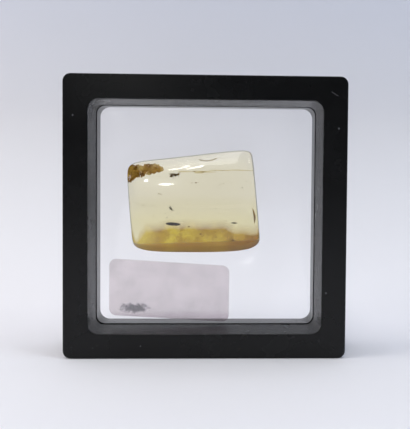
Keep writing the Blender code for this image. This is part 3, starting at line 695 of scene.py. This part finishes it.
def skin(bm, rings, slot=0, closed=True):
    # Faces between rings of vertices; a ring of one vertex is a tip
    for a, b in zip(rings, rings[1:]):
        count = max(len(a), len(b))
        for i in range(count if closed else count - 1):
            j = (i + 1) % count
            corners = [a[i % len(a)], a[j % len(a)], b[j % len(b)], b[i % len(b)]]
            corners = list(dict.fromkeys(corners))
            if len(corners) > 2:
                bm.faces.new(corners).material_index = slot


def addTurned(bm, profile, tall=1.0, ribs=0, sides=32, steps=4):
    rings = []
    for x, radius in smoothLine(profile, steps):
        if radius < 0.006:
            rings.append([bm.verts.new(Vector((x, 0, 0)) * mm)])
            continue
        ring = []
        for i in range(sides):
            angle = 2 * math.pi * i / sides
            reach = radius * (1 + 0.014 * math.cos(ribs * angle)) if ribs else radius
            place = Vector((x, reach * math.cos(angle), reach * tall * math.sin(angle)))
            ring.append(bm.verts.new(place * mm))
        rings.append(ring)
    skin(bm, rings)


def addLimb(bm, points, radii, slot=0, sides=8, steps=3):
    line = smoothLine([(*point, radius) for point, radius in zip(points, radii)], steps)
    places = [Vector(step[:3]) * mm for step in line]
    turns = [2 * math.pi * k / sides for k in range(sides)]
    rings = [[bm.verts.new(places[0])]]
    for i, (place, step) in enumerate(zip(places, line)):
        along = (places[min(i + 1, len(places) - 1)] - places[max(i - 1, 0)]).normalized()
        side = along.cross(Vector((0.31, 0.17, 0.93))).normalized()
        other = along.cross(side)
        radius = max(step[3], 0.004) * mm
        spokes = [side * math.cos(t) + other * math.sin(t) for t in turns]
        rings.append([bm.verts.new(place + spoke * radius) for spoke in spokes])
    rings.append([bm.verts.new(places[-1])])
    skin(bm, rings, slot)


def onSide(point, sign):
    # The creature's left side, or its right one where the sign is -1
    x, y, z = point
    return (x, sign * y, z)


def addBall(bm, place, radius, slot=0, squash=(1, 1, 1)):
    made = bmesh.ops.create_icosphere(bm, subdivisions=3, radius=radius * mm)
    for v in made["verts"]:
        v.co = Vector([c * k for c, k in zip(v.co, squash)]) + Vector(place) * mm
        for face in v.link_faces:
            face.material_index = slot


def addEye(bm, look, sign, slot):
    place, radius = look["eye"]
    addBall(bm, onSide(place, sign), radius, slot)


def addWing(bm, root, tip, width, veins):
    # A thin cambered blade from root to tip, of the second material, with veins of the first one
    start, end = Vector(root), Vector(tip)
    along = end - start
    side = Vector((0, 0, 1)).cross(along).normalized()
    up = along.cross(side).normalized()
    columns, rows = 18, 9

    def onWing(t, s):
        half = width / 2 * math.sin(math.pi * t**0.62) ** 0.7 if 0 < t < 1 else 0.0
        arch = 0.06 * width * math.sin(math.pi * t) * (1 - s * s)
        return start + along * t + side * (s * half + 0.08 * width * t) + up * arch

    shares = [-1 + 2 * r / (rows - 1) for r in range(rows)]
    grid = [[bm.verts.new(onWing(t / columns, s) * mm) for s in shares] for t in range(1, columns)]
    skin(bm, [[bm.verts.new(start * mm)], *grid, [bm.verts.new(end * mm)]], 1, closed=False)
    for vein in range(veins):
        s = -1 + 2 * vein / (veins - 1)
        reach = 0.97 - 0.16 * abs(s)
        places = [onWing(reach * (k / 6) ** 1.1, s * (k / 6) ** 0.5) for k in range(1, 7)]
        addLimb(bm, [start, *places], [0.022] + [0.016] * 4 + [0.008] * 2, 0, 5, 2)


def addLegs(bm, hips, drop, spread, reach, thickness):
    # Hip, thigh, knee, shin and a foot of short joints, on both sides
    for x, swing in hips:
        for sign in (-1, 1):
            hip = (x, sign * 0.05, -0.12)
            thigh = (x + swing * 0.2, sign * spread * 0.5, -0.02)
            knee = (x + swing * 0.45, sign * spread * 0.95, 0.02 - drop * 0.05)
            ankle = (x + swing * 0.85, sign * spread * reach, -drop * 0.72)
            toe = (x + swing * 1.15, sign * spread * (reach + 0.18), -drop)
            addLimb(bm, [hip, thigh, knee], [thickness * share for share in (0.7, 1.35, 0.6)])
            addLimb(bm, [knee, ankle], [thickness * 0.62, thickness * 0.5])
            for joint in range(4):
                a, b = joint / 4, (joint + 0.85) / 4
                joints = [[p + (q - p) * t for p, q in zip(ankle, toe)] for t in (a, (a + b) / 2, b)]
                addLimb(bm, joints, [thickness * share for share in (0.22, 0.42, 0.25)], sides=6)


def addBristles(bm, profile, count, length, seed):
    rng = random.Random(seed)
    low, high = profile[-1][0], profile[0][0]
    for _ in range(count):
        x = rng.uniform(low + 0.1, high - 0.1)
        after = [p for p in profile if p[0] >= x][-1]
        before = [p for p in profile if p[0] <= x][0]
        share = (x - before[0]) / max(after[0] - before[0], 1e-6)
        radius = before[1] + (after[1] - before[1]) * share
        angle = rng.uniform(-0.3, math.pi + 0.3)
        out = Vector((-0.55, math.cos(angle), math.sin(angle))).normalized()
        foot = Vector((x, radius * 0.95 * math.cos(angle), radius * 0.95 * math.sin(angle)))
        addLimb(bm, [foot, foot + out * length * rng.uniform(0.6, 1.0)], [0.010, 0.003], 0, 4, 1)


def shellMaterial(name, dark, light, scale, gloss=0.12):
    # In amber a shell hardly shines, because both bend light alike
    material, tree, shader = startMaterial(name)
    place = objectPlace(tree)
    mottled = ramp(tree, noise(tree, place, scale, 5.0), (0.35, dark), (0.72, light))
    tree.links.new(mottled, shader.inputs["Base Color"])
    pits = put(tree, "ShaderNodeTexVoronoi", None, Vector=place, Scale=scale * 6)
    tree.links.new(bump(tree, pits.outputs["Distance"], 0.3, 0.00003), shader.inputs["Normal"])
    rough = plus(tree, 0.30, times(tree, noise(tree, place, scale * 3, 3.0), 0.25))
    tree.links.new(rough, shader.inputs["Roughness"])
    shader.inputs["Specular IOR Level"].default_value = gloss
    return material


def thinMaterial(name, colour, dark, scale, clearness):
    # A wing, a dry leaf or the pale sheet of painted shade along the ridge, with light coming through it
    material, tree, _ = startMaterial(name)
    place = objectPlace(tree)
    tint = ramp(tree, noise(tree, place, scale, 5.0, 0.6), (0.35, dark), (0.68, colour))
    grain = noise(tree, place, scale * 5, 3.0)
    shineThrough(tree, tint, bump(tree, grain, 0.3, 0.00003), 0.5, clearness)
    return material


def settle(bm, name, node, materials, look):
    piece = objectOf(name, bm, materials[0], "back_half")
    for extra in materials[1:]:
        piece.data.materials.append(extra)
    matrix = Matrix.Translation(Vector(look["middle"]) * mm)
    for angle, axis in zip(reversed(look["turn"]), "ZYX"):
        matrix = matrix @ Matrix.Rotation(math.radians(angle), 4, axis)
    piece.data.transform(matrix)
    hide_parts(node)


blackShell = shellMaterial("blackShell", (0.005, 0.003, 0.002), (0.028, 0.014, 0.007), 1500.0)
greyShell = shellMaterial("greyShell", (0.050, 0.038, 0.014), (0.17, 0.13, 0.05), 1800.0)
brownShell = shellMaterial("brownShell", (0.13, 0.070, 0.010), (0.42, 0.27, 0.06), 1600.0)
oliveShell = shellMaterial("oliveShell", (0.06, 0.040, 0.008), (0.20, 0.14, 0.04), 1600.0)
darkEye = shellMaterial("darkEye", (0.012, 0.006, 0.004), (0.05, 0.02, 0.01), 5000.0, 0.3)
smokyWing = thinMaterial("smokyWing", (0.86, 0.74, 0.52), (0.62, 0.46, 0.26), 900.0, 0.72)
dryLeaf = thinMaterial("dryLeaf", (0.84, 0.64, 0.26), (0.48, 0.31, 0.09), 700.0, 0.42)

# The beetle: a long, round pinhole borer, its wing cases ribbed, its head to the right

beetle = {
    "middle": (-10.80, -1.2, 42.55),
    "turn": (0, 3, 0),
    # each part's outline: place along the body and radius
    "cases": (
        (0.56, 0.0), (0.54, 0.30), (0.42, 0.46), (0.10, 0.495), (-0.40, 0.50), (-1.20, 0.44), (-1.85, 0.31),
        (-2.24, 0.14), (-2.36, 0.0),
    ),
    "thorax": (
        (1.64, 0.0), (1.60, 0.30), (1.45, 0.40), (1.10, 0.46), (0.72, 0.45), (0.54, 0.37), (0.48, 0.0),
    ),
    "head": ((2.34, 0.0), (2.27, 0.17), (2.08, 0.30), (1.85, 0.33), (1.62, 0.29), (1.52, 0.0)),
    # the legs: place and swing of each pair, then drop, spread, reach and thickness
    "hips": ((1.15, 0.45), (0.25, -0.35), (-0.35, -0.65)),
    "legs": (0.62, 0.45, 1.1, 0.07),
    "eye": ((1.93, 0.27, 0.10), 0.095),
    # feeler and jaw: points and radii
    "limbs": (
        (
            ((2.05, 0.14, 0.12), (2.2, 0.34, 0.2), (2.3, 0.44, 0.2), (2.42, 0.5, 0.2)),
            (0.03, 0.035, 0.07, 0.05),
        ),
        (((2.2, 0.12, -0.1), (2.4, 0.10, -0.14), (2.44, 0.02, -0.15)), (0.05, 0.035, 0.015)),
    ),
    "bristles": (46, 0.16, 3),  # count, length and seed
}


def makeBeetle(look):
    bm = bmesh.new()
    addTurned(bm, look["cases"], ribs=14, sides=70)
    addTurned(bm, look["thorax"])
    addTurned(bm, look["head"])
    addLegs(bm, look["hips"], *look["legs"])
    for sign in (-1, 1):
        addEye(bm, look, sign, 1)
        for points, radii in look["limbs"]:
            addLimb(bm, [onSide(point, sign) for point in points], radii)
    addBristles(bm, look["cases"], *look["bristles"])
    settle(bm, "beetle", "pinhole_beetle", (blackShell, darkEye), look)


makeBeetle(beetle)

# The gnat: humped thorax, long legs, two wings folded back

gnat = {
    "middle": (-11.45, -1.7, 47.45),
    "turn": (10, 40, 0),
    "head": ((0.82, 0.0), (0.76, 0.12), (0.64, 0.17), (0.53, 0.12), (0.48, 0.0)),
    "thorax": ((0.52, 0.0), (0.46, 0.16), (0.22, 0.29), (0.0, 0.24), (-0.10, 0.12), (-0.14, 0.0)),
    "belly": (
        (-0.06, 0.0), (-0.12, 0.12), (-0.24, 0.16), (-0.28, 0.14), (-0.40, 0.17), (-0.45, 0.14),
        (-0.58, 0.14), (-0.63, 0.11), (-0.76, 0.08), (-0.86, 0.0),
    ),
    "hips": ((0.34, 0.40), (0.18, -0.10), (0.05, -0.55)),
    "legs": (0.78, 0.52, 1.3, 0.030),
    "eye": ((0.68, 0.10, 0.05), 0.10),
    "wings": (((0.16, 0.06, 0.22), (-0.98, 0.62, 0.55), 0.44, 5),),  # root, tip, width and veins
    "feeler": ((0.72, 0.05, 0.10), (0.92, 0.15, 0.22), (1.10, 0.22, 0.22), (1.24, 0.28, 0.14)),
    "feelerRadii": (0.025, 0.02, 0.016, 0.01),
    "bristles": (30, 0.12, 5),
}


def makeGnat(look):
    bm = bmesh.new()
    for part in ("head", "thorax", "belly"):
        addTurned(bm, look[part], tall=1.1)
    addLegs(bm, look["hips"], *look["legs"])
    for sign in (-1, 1):
        addEye(bm, look, sign, 2)
        for root, tip, width, veins in look["wings"]:
            addWing(bm, onSide(root, sign), onSide(tip, sign), width, veins)
        feeler = [onSide(point, sign) for point in look["feeler"]]
        addLimb(bm, feeler, look["feelerRadii"])
        for k in range(7):
            t = 0.3 + 0.1 * k
            foot = Vector(feeler[0]).lerp(Vector(feeler[-1]), t)
            foot.z += 0.07 * math.sin(math.pi * t)
            addLimb(bm, [foot, foot + Vector((0.05, sign * 0.04, 0.10))], [0.006, 0.003], 0, 4, 1)
    addBristles(bm, look["thorax"], *look["bristles"])
    settle(bm, "smallGnat", "gnat", (greyShell, smokyWing, darkEye), look)


makeGnat(gnat)

# The winged ant: elbowed feelers, a narrow waist and two pairs of wings

ant = {
    "middle": (-10.30, -2.4, 58.15),
    "turn": (-20, -14, 6),
    "head": ((1.58, 0.0), (1.55, 0.18), (1.34, 0.33), (1.06, 0.29), (0.92, 0.12), (0.86, 0.0)),
    "thorax": ((0.90, 0.0), (0.82, 0.20), (0.50, 0.37), (0.14, 0.34), (-0.10, 0.20), (-0.18, 0.0)),
    "waist": (
        (-0.12, 0.0), (-0.20, 0.08), (-0.30, 0.09), (-0.38, 0.16), (-0.46, 0.09), (-0.54, 0.07),
        (-0.58, 0.0),
    ),
    "belly": (
        (-0.50, 0.0), (-0.60, 0.24), (-0.80, 0.36), (-0.84, 0.34), (-1.10, 0.37), (-1.15, 0.33),
        (-1.38, 0.27), (-1.43, 0.22), (-1.60, 0.10), (-1.68, 0.0),
    ),
    "hips": ((0.66, 0.60), (0.38, -0.15), (0.12, -0.80)),
    "legs": (0.95, 0.62, 1.2, 0.055),
    "eye": ((1.24, 0.26, 0.10), 0.09),
    "wings": (
        ((0.52, 0.08, 0.30), (-1.80, 0.55, 0.74), 0.74, 6),
        ((0.30, 0.10, 0.26), (-1.20, 0.72, 0.56), 0.46, 4),
    ),
    # the feeler up to its elbow, the rest of it and the jaw
    "limbs": (
        (((1.38, 0.10, 0.14), (1.52, 0.32, 0.34), (1.62, 0.44, 0.40)), (0.045, 0.035, 0.035)),
        (((1.62, 0.44, 0.40), (1.82, 0.52, 0.32), (2.04, 0.56, 0.18)), (0.03, 0.04, 0.045)),
        (((1.46, 0.12, -0.12), (1.66, 0.10, -0.16), (1.70, 0.01, -0.16)), (0.05, 0.04, 0.015)),
    ),
    "bristles": (40, 0.14, 7),
}


def makeAnt(look):
    bm = bmesh.new()
    for part in ("head", "thorax", "waist", "belly"):
        addTurned(bm, look[part])
    addLegs(bm, look["hips"], *look["legs"])
    for sign in (-1, 1):
        addEye(bm, look, sign, 2)
        for root, tip, width, veins in look["wings"]:
            addWing(bm, onSide(root, sign), onSide(tip, sign), width, veins)
        for points, radii in look["limbs"]:
            addLimb(bm, [onSide(point, sign) for point in points], radii)
    addBristles(bm, look["belly"], *look["bristles"])
    settle(bm, "wingedAnt", "winged_ant", (brownShell, smokyWing, darkEye), look)


makeAnt(ant)

# The pupa, a ringed barrel

pupa = {"middle": (9.15, -0.6, 42.95), "turn": (0, 2, 0), "rings": 6}


def makePupa(look):
    count = look["rings"]
    profile = [(1.05, 0.0)]
    for ring in range(count):
        start = 1.0 - ring * 0.34
        girth = 0.24 * math.sin(math.pi * (ring + 0.9) / (count + 0.6))
        profile += [(start, girth * 0.82 + 0.02), (start - 0.17, girth + 0.03)]
    profile.append((-1.05, 0.0))
    bm = bmesh.new()
    addTurned(bm, profile, steps=5)
    for sign in (-1, 1):
        addLimb(bm, [(0.96, sign * 0.05, 0.05), (1.10, sign * 0.08, 0.09)], [0.03, 0.02])
    settle(bm, "ringedPupa", "fly_pupa", (oliveShell,), look)


makePupa(pupa)

# Bits of plant: an upright sliver at the right and a bent scale at the top

sliver = {
    "middle": (0, 0, 0), "turn": (0, 0, 0),  # its ends are already in place
    "low": (15.62, -3.4, 42.8), "high": (14.98, -3.4, 47.8), "bow": 0.22,
    "width": 0.50, "thickness": 0.12, "seed": 11,
}
budScale = {
    "middle": (0.70, 0.4, 62.75), "turn": (0, -6, 0), "length": 6.0,
    "width": 0.78, "thickness": 0.10, "seed": 12,
}


def addBlade(bm, lineAt, width, thickness, side, seed):
    # A dry blade: tapered, cupped, with a midrib and a nibbled edge
    rng = random.Random(seed)
    rings = []
    count, across = 34, 10
    for i in range(count + 1):
        t = i / count
        half = width / 2 * math.sin(math.pi * (0.03 + 0.94 * t)) ** 0.7
        place, normal = lineAt(t)
        top, bottom = [], []
        for k in range(across + 1):
            s = -1 + 2 * k / across
            nibble = 1 + (0.16 * (rng.random() - 0.5) if abs(s) > 0.95 else 0)
            cup = 0.22 * width * s * s - 0.10 * thickness * math.exp(-((s / 0.12) ** 2))
            spot = place + side * (s * half * nibble) + normal * cup
            top.append(bm.verts.new((spot + normal * thickness / 2 * (1.05 - s * s)) * mm))
            bottom.append(bm.verts.new((spot - normal * thickness / 2 * (1.05 - s * s)) * mm))
        rings.append(top + bottom[::-1])
    skin(bm, rings)
    for end in (rings[0], rings[-1]):
        bm.faces.new(end)


def makeSliver(look):
    low, high = Vector(look["low"]), Vector(look["high"])

    def lineAt(t):
        bend = Vector((look["bow"] * math.sin(math.pi * t), 0, 0))
        return low.lerp(high, t) + bend, Vector((0.3, 1, 0)).normalized()

    bm = bmesh.new()
    addBlade(bm, lineAt, look["width"], look["thickness"], Vector((1, -0.3, 0)).normalized(), look["seed"])
    settle(bm, "leafSliver", "leaf_sliver", (dryLeaf,), look)


def makeBudScale(look):
    def lineAt(t):
        u = 2 * t - 1
        normal = Vector((-1.5 * u / 3, 0, 1)).normalized()
        return Vector((look["length"] / 2 * u, 0, 0.80 * u * u - 0.45)), normal

    bm = bmesh.new()
    addBlade(bm, lineAt, look["width"], look["thickness"], Vector((0, 1, 0)), look["seed"])
    settle(bm, "budScale", "bud_scale", (dryLeaf,), look)


makeSliver(sliver)
makeBudScale(budScale)
print("creatures and bits of plant set in the amber")

# The crust: crumbs of rind packed under the surface at the upper left corner

crust = {
    # x, z and how far the crumbs lie from there
    "spine": (
        (-25.9, 57.4, 2.0), (-25.2, 58.6, 2.7), (-22.4, 59.8, 2.6), (-19.2, 60.3, 2.0), (-16.6, 60.4, 1.5),
        (-14.6, 60.2, 0.6),
    ),
    "crumbs": 640,
    "crumb": (0.26, 0.62),
    "depths": (-4.8, -3.0),
    "cornerDepths": (-4.6, 1.8),  # it goes round the amber's left end
    "cornerFrom": -24.6,
    "cover": 0.08,  # amber left over each crumb
    "grain": 0.11,
    "glow": 0.45,
    "clearness": 0.72,
    "colours": (
        (0.34, (0.36, 0.22, 0.06)), (0.46, (0.68, 0.50, 0.20)), (0.55, (0.88, 0.72, 0.38)),
        (0.64, (0.98, 0.92, 0.66)),
    ),
    "seed": 21,
}


def makeRindMaterial(look):
    material, tree, _ = startMaterial("rindCrumbs")
    place = objectPlace(tree)
    patch = noise(tree, place, 420.0, 6.0, 0.65)
    grit = noise(tree, place, 2600.0, 3.0)
    colour = ramp(tree, plus(tree, times(tree, patch, 0.75), times(tree, grit, 0.25)), *look["colours"])
    shineThrough(tree, colour, bump(tree, grit, 0.5, 0.00008), look["glow"], look["clearness"])
    return material


def addCrumb(bm, place, radius, rng):
    made = bmesh.ops.create_icosphere(bm, subdivisions=2, radius=1.0)
    waves = [(Vector([rng.gauss(0, 1) for _ in range(3)]), rng.uniform(0, 6.28)) for _ in range(4)]
    for v in made["verts"]:
        swell = 1 + 0.13 * sum(math.sin(2.0 * wave.dot(v.co) + phase) for wave, phase in waves)
        v.co = place + v.co * swell * radius * mm


def makeCrust(look):
    rng = random.Random(look["seed"])
    line = smoothLine(look["spine"], 8)
    bm = bmesh.new()
    for _ in range(look["crumbs"]):
        x, z, reach = rng.choice(line)
        angle, share = rng.uniform(0, 2 * math.pi), math.sqrt(rng.random())
        depths = look["cornerDepths"] if x < look["cornerFrom"] else look["depths"]
        x, y = x + rng.uniform(-0.5, 0.5), rng.uniform(*depths)
        place = Vector((x, y, z + reach * share * math.sin(angle))) * mm
        radius = rng.uniform(*look["crumb"])
        spot, normal = amberTree.find_nearest(place)[:2]
        short = radius + look["cover"] - (spot - place).dot(normal) / mm
        if short > 0:  # it would break through the polish, so it is pushed in
            place = place - normal * short * mm
        addCrumb(bm, place, radius / 1.3, rng)
    piece = objectOf("rindCrust", bm, makeRindMaterial(look), "back_half")
    caked = piece.modifiers.new("caked", "REMESH")
    caked.mode = "VOXEL"
    caked.voxel_size = look["grain"] * mm
    bakeModifiers(piece)
    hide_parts("bark_crust")


makeCrust(crust)
print("crust packed")

# Specks, a painted shade line along the ridge and small bubbles

specks = {
    "marks": (  # x, y, z, length and height
        (-15.4, -1.5, 52.2, 0.55, 0.25), (-14.7, -1.0, 52.0, 0.4, 0.2), (-5.6, -0.5, 41.7, 0.9, 0.4),
        (-1.7, 1.5, 39.3, 0.7, 0.55), (8.9, 0.5, 37.3, 1.1, 0.5), (15.2, -1.0, 59.2, 1.1, 0.22),
        (-3.3, -2.0, 55.8, 0.6, 0.3), (-4.7, 0.8, 55.6, 0.3, 0.3), (-3.9, -3.0, 59.4, 0.9, 0.14),
        (-1.0, -3.2, 59.3, 0.7, 0.18), (2.9, -3.0, 59.7, 0.5, 0.14), (5.4, -3.1, 59.9, 0.6, 0.16),
        (3.4, 1.0, 38.2, 0.5, 0.35),
    ),
    # painted shade: faint tan sheets along the ridge draw the dark line that the ridge's refraction makes
    "shadeLine": (
        (-6.3, -3.0, 59.3, 5.2, 0.34), (-2.6, -3.1, 59.35, 6.4, 0.5), (0.2, -3.0, 59.4, 4.8, 0.4),
        (4.6, -3.0, 59.85, 7.5, 0.34), (10.6, -3.0, 60.05, 8.8, 0.30), (-2.2, -3.4, 59.1, 2.4, 0.5),
    ),
    "dustCount": 70,
    "seed": 31,
}
bubbles = (  # x, y, z and radius
    (-12.7, -1.6, 44.6, 0.20), (-12.1, -1.2, 45.3, 0.13), (-13.3, -0.8, 45.9, 0.16),
    (-10.6, -1.9, 44.9, 0.11), (-9.6, -1.0, 45.8, 0.09), (-6.4, 0.6, 50.2, 0.12),
    (3.2, -1.2, 47.6, 0.15), (11.8, 0.4, 54.3, 0.18), (12.2, 0.1, 53.6, 0.10),
)


def makeSpecks(look):
    rng = random.Random(look["seed"])
    bits = shellMaterial("brownSpecks", (0.10, 0.045, 0.012), (0.32, 0.17, 0.05), 1500.0)
    # painted shade: the tan tint of the sheets along the ridge
    shadeSheet = thinMaterial("ridgeShadeSheet", (0.99, 0.965, 0.90), (0.93, 0.88, 0.74), 1300.0, 0.97)
    marks = list(look["marks"])
    for _ in range(look["dustCount"]):
        size = rng.uniform(0.05, 0.16)
        x, y, z = rng.uniform(-22, 14), rng.uniform(-3, 3.5), rng.uniform(38, 61)
        marks.append((x, y, z, size * rng.uniform(1, 2.5), size))
    for name, places, material in (("brownSpecks", marks, bits), ("ridgeShadeLine", look["shadeLine"], shadeSheet)):
        bm = bmesh.new()
        for x, y, z, length, height in places:
            first = len(bm.verts)
            addCrumb(bm, Vector((0, 0, 0)), 1.0, rng)
            bm.verts.ensure_lookup_table()
            for v in bm.verts[first:]:
                along, depth, up = v.co / mm / 2
                bend = 0.12 * height * math.cos(4.4 * along)
                v.co = Vector((x + along * length, y + depth * height, z + up * height + bend)) * mm
        objectOf(name, bm, material, "back_half")


def makeBubbles(places):
    material, tree, shader = startMaterial("airInAmber")
    shader.inputs["Transmission Weight"].default_value = 1.0
    shader.inputs["IOR"].default_value = 1 / amberBar["ior"]  # from amber into air
    film = noise(tree, objectPlace(tree), 2500.0, 3.0)
    tree.links.new(times(tree, film, 0.06), shader.inputs["Roughness"])
    tree.links.new(bump(tree, film, 0.05, 0.00001), shader.inputs["Normal"])
    tree.links.new(ramp(tree, film, (0.3, grey(0.93)), (0.7, grey(1.0))), shader.inputs["Base Color"])
    bm = bmesh.new()
    for x, y, z, radius in places:
        addBall(bm, (x, y, z), radius, 0, (1.0, 1.0, 0.88))
    objectOf("airBubbles", bm, material, "back_half")


makeSpecks(specks)
makeBubbles(bubbles)
print("specks and bubbles added")
